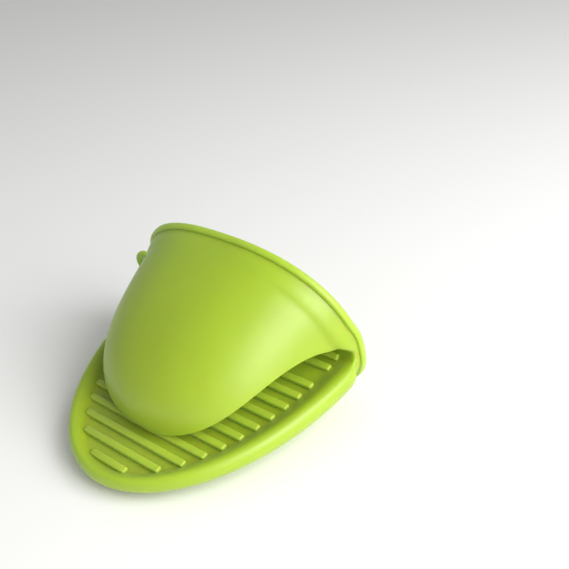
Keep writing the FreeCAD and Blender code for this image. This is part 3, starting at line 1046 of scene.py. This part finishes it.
@dataclass
class CuffBead:
    """The rounded bead round the hand opening, a torus fitted to the cuff's oval."""

    skin: MouldedSkin
    round_steps: int = 128
    profile_steps: int = 16
    power: float = 3.2  # squareness of its section

    def build(self, material: bpy.types.Material) -> bpy.types.Object:
        """Fit the torus to the rim.

        Args:
            material: the silicone.

        Returns:
            The finished bead.
        """
        s = self.skin.sizes
        deselect()
        bpy.ops.mesh.primitive_torus_add(
            major_segments=self.round_steps,
            minor_segments=self.profile_steps,
            major_radius=s.cuff_half * MM,
            minor_radius=s.wall / 2 * MM,
        )
        bead = start_piece("cuff_bead")
        thick = s.wall + s.bead_proud
        for vertex in bead.data.vertices:
            angle = math.atan2(vertex.co.y, vertex.co.x)
            profile = math.atan2(vertex.co.z, vertex.co.xy.length - s.cuff_half * MM)
            outward = thick / 2 * squared_off(math.cos(profile), self.power)
            t = s.bead_length / 2 * (1 - squared_off(math.sin(profile), self.power))
            spot = self.rim(angle, t, s.wall - thick / 2 - outward)
            vertex.co = self.skin.pocket.place(spot)
        face_outwards(bead)
        dress(bead, material)
        return bead

    def rim(self, angle: float, t: float, inset: float) -> Point:
        """A point of the bead.

        Args:
            angle: radians round the rim, below 0 on the finger side.
            t: distance from the rim.
            inset: how far it stands inside the wall's outer face, below 0 when it stands proud.

        Returns:
            The point in the pocket frame.
        """
        skin, s = self.skin, self.skin.sizes
        sine = squared_off(math.sin(angle), skin.power)
        x = (s.cuff_half - inset) * squared_off(math.cos(angle), skin.power)
        if angle < 0:
            drop = s.hinge_height - skin.table_level(t) - max(inset, 0)
            return (x, t, s.hinge_height + drop * sine)
        rise = skin.dome_top(t) - s.hinge_height - inset
        share = min(angle, math.pi - angle) * 2 / math.pi
        point = (x, t, s.hinge_height + rise * sine)
        return skin.pocket.leaned(point, smooth(0.0, LEAN_ZONE, share))


# ---------------------------------------------------------------- ribs


@dataclass
class Ribs:
    """The straight gripping ribs of one wall."""

    skin: MouldedSkin
    sink: float = 0.35  # mm, foot of a rib inside its wall
    soft_edge: float = 0.6  # mm, radius along its top
    mouth_gap: float = 1.2  # pitches from the mouth's bend to the thumb's first rib

    def bar(
        self, name: str, length: float, height: float, seat: Matrix, material: bpy.types.Material
    ) -> bpy.types.Object:
        """Model one rib: a bar with soft edges and square ends.

        Args:
            name: the piece's name.
            length: length in mm.
            height: height over the wall in mm.
            seat: where it stands, in metres, with Z away from the wall.
            material: the silicone.

        Returns:
            The finished rib.
        """
        width = self.skin.sizes.rib_width
        deselect()
        bpy.ops.mesh.primitive_cube_add(size=1.0)
        rib = start_piece(name)
        bpy.ops.object.mode_set(mode="EDIT")
        bpy.ops.mesh.select_all(action="SELECT")
        bpy.ops.transform.resize(value=(length * MM, width * MM, (height + self.sink) * MM))
        bpy.ops.transform.translate(value=(0, 0, (height - self.sink) / 2 * MM))
        bpy.ops.mesh.select_all(action="DESELECT")
        bpy.ops.mesh.select_mode(type="EDGE")
        foot = -self.sink * MM + TINY
        for edge in cage_of(rib).edges:
            edge.select_set(any(vertex.co.z > foot for vertex in edge.verts))
        bmesh.update_edit_mesh(rib.data)
        bpy.ops.mesh.bevel(offset=self.soft_edge * MM, segments=4, profile=0.5)
        bpy.ops.mesh.select_mode(type="VERT")
        bpy.ops.object.mode_set(mode="OBJECT")
        rib.data.transform(seat)
        dress(rib, material)
        return rib

    def seat(self, point: Point, tilt: float, leaned: bool) -> Matrix:
        """A rib's place.

        Args:
            point: the middle of its foot.
            tilt: degrees about the X axis, from the grip panel.
            leaned: whether it leans with the thumb side.

        Returns:
            The placement in metres.
        """
        s, pocket = self.skin.sizes, self.skin.pocket
        turn = s.panel_slope + tilt + (s.cuff_lean if leaned else 0.0)
        place = Matrix.Translation(pocket.place(pocket.leaned(point) if leaned else point))
        return place @ Matrix.Rotation(math.radians(turn), 4, "X")

    def build_grip(self, material: bpy.types.Material) -> list[bpy.types.Object]:
        """Model the ribs of the finger side.

        Args:
            material: the silicone.

        Returns:
            The ribs, numbered from the tip.
        """
        s = self.skin.sizes
        ribs = []
        across = s.finger_half - s.border_width - s.rib_end_gap
        reach = s.finger_length - s.straight_run - s.border_tip_width - s.rib_end_gap
        for index in range(GRIP_RIBS + MOUTH_RIBS):
            t = s.finger_length - s.rib_tip_inset - index * s.rib_pitch
            if index >= GRIP_RIBS:
                t -= s.rib_break
            past = max(0.0, t - s.straight_run) / reach
            length = 2 * across * math.sqrt(1 - past**2)
            turn = max(0.0, (s.mouth_centre - t) / s.mouth_radius)
            spot = (0.0, t, 0.0)
            if turn > 0:
                bend_t = s.mouth_centre - s.mouth_radius * math.sin(turn)
                bend_w = s.hinge_height - s.mouth_radius * math.cos(turn)
                spot = (0.0, bend_t, bend_w)
            seat = self.seat(spot, math.degrees(turn), leaned=False)
            name = f"grip_rib_piece_{index + 1:02d}"
            ribs.append(self.bar(name, length, s.rib_height, seat, material))
        return ribs

    def build_thumb(self, material: bpy.types.Material) -> list[bpy.types.Object]:
        """Model the ribs of the thumb side.

        Args:
            material: the silicone.

        Returns:
            The ribs, numbered from the mouth.
        """
        s, skin = self.skin.sizes, self.skin
        ribs = []
        span = s.thumb_length - s.mouth_centre
        base = s.hinge_height
        for index in range(THUMB_RIBS):
            t = s.mouth_centre + span * (index + self.mouth_gap) / (THUMB_RIBS + self.mouth_gap)
            level = skin.mouth_level(t)
            climb = skin.mouth_level(t + 0.5) - skin.mouth_level(t - 0.5)
            ratio = (level - base) / (s.cuff_top - base)
            half = skin.thumb_half(t) * math.sqrt(1 - ratio**2) - s.thumb_rib_margin
            seat = self.seat((0.0, t, level), 180 - math.degrees(math.atan(climb)), leaned=True)
            name = f"thumb_rib_piece_{index + 1:02d}"
            ribs.append(self.bar(name, 2 * half, s.thumb_rib_height, seat, material))
        return ribs


# ---------------------------------------------------------------- the hanging loop


@dataclass
class HangingLoop:
    """A flat ring with soft edges whose neck flares into the cuff's bead."""

    skin: MouldedSkin
    power: float = 3.0  # squareness of the ring's section
    neck_arc: Pair = (-48.0, 24.0)  # degrees of the ring that the neck leaves from
    neck_rim: float = 0.62  # share of the ring's width, outside which it leaves
    neck_centre: float = -1.2  # mm from the middle of the ring
    neck_spread: float = 1.35  # how much wider the neck is at the cuff than at the ring
    neck_round: float = 0.05  # how much its end is set back towards its edges
    neck_thinning: float = 0.95
    overlap: float = 0.4  # mm that it goes into the bead

    def build(self, material: bpy.types.Material) -> bpy.types.Object:
        """Shape a torus into a flat ring and draw its neck out to the cuff.

        Args:
            material: the silicone.

        Returns:
            The finished loop.
        """
        s = self.skin.sizes
        box_low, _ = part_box("hanging_loop")
        reach = -box_low[0] / MM - s.loop_hole - s.loop_ring
        middle = s.loop_hole + s.loop_ring / 2
        deselect()
        bpy.ops.mesh.primitive_torus_add(
            major_segments=32,
            minor_segments=12,
            major_radius=middle * MM,
            minor_radius=s.loop_ring / 2 * MM,
        )
        loop = start_piece("hanging_loop_piece")
        for vertex in loop.data.vertices:
            angle = math.atan2(vertex.co.y, vertex.co.x)
            profile = math.atan2(vertex.co.z / MM, vertex.co.xy.length / MM - middle)
            radius = middle + s.loop_ring / 2 * squared_off(math.cos(profile), self.power)
            depth = s.loop_thickness / 2 * squared_off(math.sin(profile), self.power)
            vertex.co = (radius * math.cos(angle), radius * math.sin(angle), depth)
        activate(loop)
        bpy.ops.object.mode_set(mode="EDIT")
        bpy.ops.mesh.select_all(action="DESELECT")
        bpy.ops.mesh.select_mode(type="FACE")
        limit = s.loop_hole + s.loop_ring * self.neck_rim
        for face in cage_of(loop).faces:
            centre = face.calc_center_median()
            angle = math.degrees(math.atan2(centre.y, centre.x))
            on_arc = self.neck_arc[0] < angle < self.neck_arc[1]
            face.select_set(centre.xy.length > limit and on_arc)
        bmesh.update_edit_mesh(loop.data)
        bpy.ops.mesh.extrude_region_move()
        end = reach - s.cuff_half + self.overlap
        for vertex in cage_of(loop).verts:
            if vertex.select:
                wide = (vertex.co.y - self.neck_centre) * self.neck_spread
                x = end - abs(wide) * self.neck_round
                vertex.co = (x, self.neck_centre + wide, vertex.co.z * self.neck_thinning)
        bmesh.update_edit_mesh(loop.data)
        bpy.ops.mesh.select_mode(type="VERT")
        bpy.ops.object.mode_set(mode="OBJECT")
        for vertex in loop.data.vertices:
            x, level, depth = vertex.co
            spot = (x - reach, s.bead_length / 2 + depth, s.loop_level + level)
            vertex.co = self.skin.pocket.place(spot)
        face_outwards(loop)
        round_off(loop)
        dress(loop, material)
        return loop


# ---------------------------------------------------------------- studio


def towards(azimuth: float, elevation: float) -> Vector:
    """Direction by degrees to the right of the mitt's front and degrees above the floor."""
    a, e = math.radians(azimuth), math.radians(elevation)
    return Vector((math.sin(a) * math.cos(e), -math.cos(a) * math.cos(e), math.sin(e)))


@dataclass(frozen=True)
class Softbox:
    """A soft square light that looks at the mitt."""

    name: str
    azimuth: float  # degrees to the right of the mitt's front
    elevation: float  # degrees above the floor
    distance: float  # metres from the mitt
    size: float  # metres along an edge
    power: float  # watts
    aim: Vector = field(default_factory=lambda: Vector((0, 0, 0.03)))

    def build(self) -> None:
        """Add the light."""
        data = bpy.data.lights.new(self.name, "AREA")
        data.size = self.size
        data.energy = self.power
        light = bpy.data.objects.new(self.name, data)
        bpy.context.collection.objects.link(light)
        back = towards(self.azimuth, self.elevation)
        turn = back.to_track_quat("Z", "Y").to_matrix().to_4x4()
        light.matrix_world = Matrix.Translation(self.aim + back * self.distance) @ turn


@dataclass
class Studio:
    """Pale floor, soft lights and the camera."""

    azimuth: float = 41.4
    elevation: float = 30.8
    roll: float = -4.7
    lens: float = 54.2
    sensor: float = 36.0
    station: Vector = field(default_factory=lambda: Vector((208.2, -179.3, 218.3)) * MM)
    floor_edge: float = 6.0  # metres
    floor_drop: float = 0.0002  # metres, so that it doesn't cut into the mitt's back
    room_light: float = 0.42
    lights: tuple[Softbox, ...] = (
        Softbox("key_light", 98, 36, distance=0.9, size=0.7, power=9.0),
        Softbox("front_light", 72, 18, distance=1.0, size=0.6, power=4.5),
    )

    def build_floor(self) -> None:
        """Add the floor."""
        deselect()
        bpy.ops.mesh.primitive_plane_add(size=self.floor_edge, location=(0, 0, -self.floor_drop))
        floor = start_piece("studio_floor")
        activate(floor)
        bpy.ops.object.transform_apply(location=True, rotation=True, scale=True)
        floor.data.materials.append(PaintedFloor().make())

    def build_lights(self) -> None:
        """Add a broad key from the right, a weaker fill and a white room."""
        for light in self.lights:
            light.build()
        world = bpy.data.worlds.new("studio_room")
        world.use_nodes = True
        background = world.node_tree.nodes["Background"]
        background.inputs["Color"].default_value = (1, 1, 1, 1)
        background.inputs["Strength"].default_value = self.room_light
        bpy.context.scene.world = world
        bpy.context.scene.view_settings.view_transform = "Standard"

    def build_camera(self) -> None:
        """Add the camera at its station and make it the scene's camera."""
        a = math.radians(self.azimuth)
        back = towards(self.azimuth, self.elevation)
        right = Vector((math.cos(a), math.sin(a), 0))
        data = bpy.data.cameras.new("camera")
        data.lens = self.lens
        data.sensor_width = self.sensor
        camera = bpy.data.objects.new("camera", data)
        bpy.context.collection.objects.link(camera)
        turn = Matrix((right, back.cross(right), back)).transposed().to_4x4()
        roll = Matrix.Rotation(math.radians(self.roll), 4, "Z")
        camera.matrix_world = Matrix.Translation(self.station) @ turn @ roll
        bpy.context.scene.camera = camera

    def build(self) -> None:
        """Set up the whole studio."""
        self.build_floor()
        self.build_lights()
        self.build_camera()


# ---------------------------------------------------------------- the mitt


@dataclass
class PinchMitt:
    """The whole mitt, piece by piece; the loop and the ribs go on the frame's two bodies."""

    frame: dict
    sizes: MittSizes = field(default_factory=MittSizes)

    def build(self) -> None:
        """Model and dress every piece, and mount the loop and the ribs on their bodies."""
        joint = self.frame["record"]["behaviour"]["joints"][0]
        pocket = PocketFrame(self.sizes, Vector(joint["pos_m"]))
        silicone = MouldedSilicone().make()
        skin_maker = MouldedSkin(self.sizes, pocket)

        skin = skin_maker.build(silicone)
        skin_maker.bend_with_joint(skin)
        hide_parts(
            "finger_shell",
            "grip_panel",
            "panel_border",
            "mouth_web_lower",
            "mouth_web_upper",
            "thumb_shell",
            "thumb_panel",
        )
        self.report(skin)

        bead = CuffBead(skin_maker).build(silicone)
        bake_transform(bead)
        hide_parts("cuff_bead_finger", "cuff_bead_thumb")
        self.report(bead)

        loop = HangingLoop(skin_maker).build(silicone)
        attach(loop, Side.FINGER.value)
        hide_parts("hanging_loop")
        self.report(loop)

        ribs = Ribs(skin_maker)
        for index, rib in enumerate(ribs.build_grip(silicone), start=1):
            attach(rib, Side.FINGER.value)
            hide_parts(f"grip_rib_{index:02d}")
            self.report(rib)
        for index, rib in enumerate(ribs.build_thumb(silicone), start=1):
            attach(rib, Side.THUMB.value)
            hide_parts(f"thumb_rib_{index:02d}")
            self.report(rib)

    def report(self, piece: bpy.types.Object) -> None:
        """Log the piece's name and its number of faces."""
        log.info("%s: %d faces", piece.name, len(piece.data.polygons))


def main() -> None:
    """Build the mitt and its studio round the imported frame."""
    logging.basicConfig(level=logging.INFO, format="%(name)s %(message)s")
    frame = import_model()
    PinchMitt(frame).build()
    Studio().build()


if __name__ == "__main__":
    main()
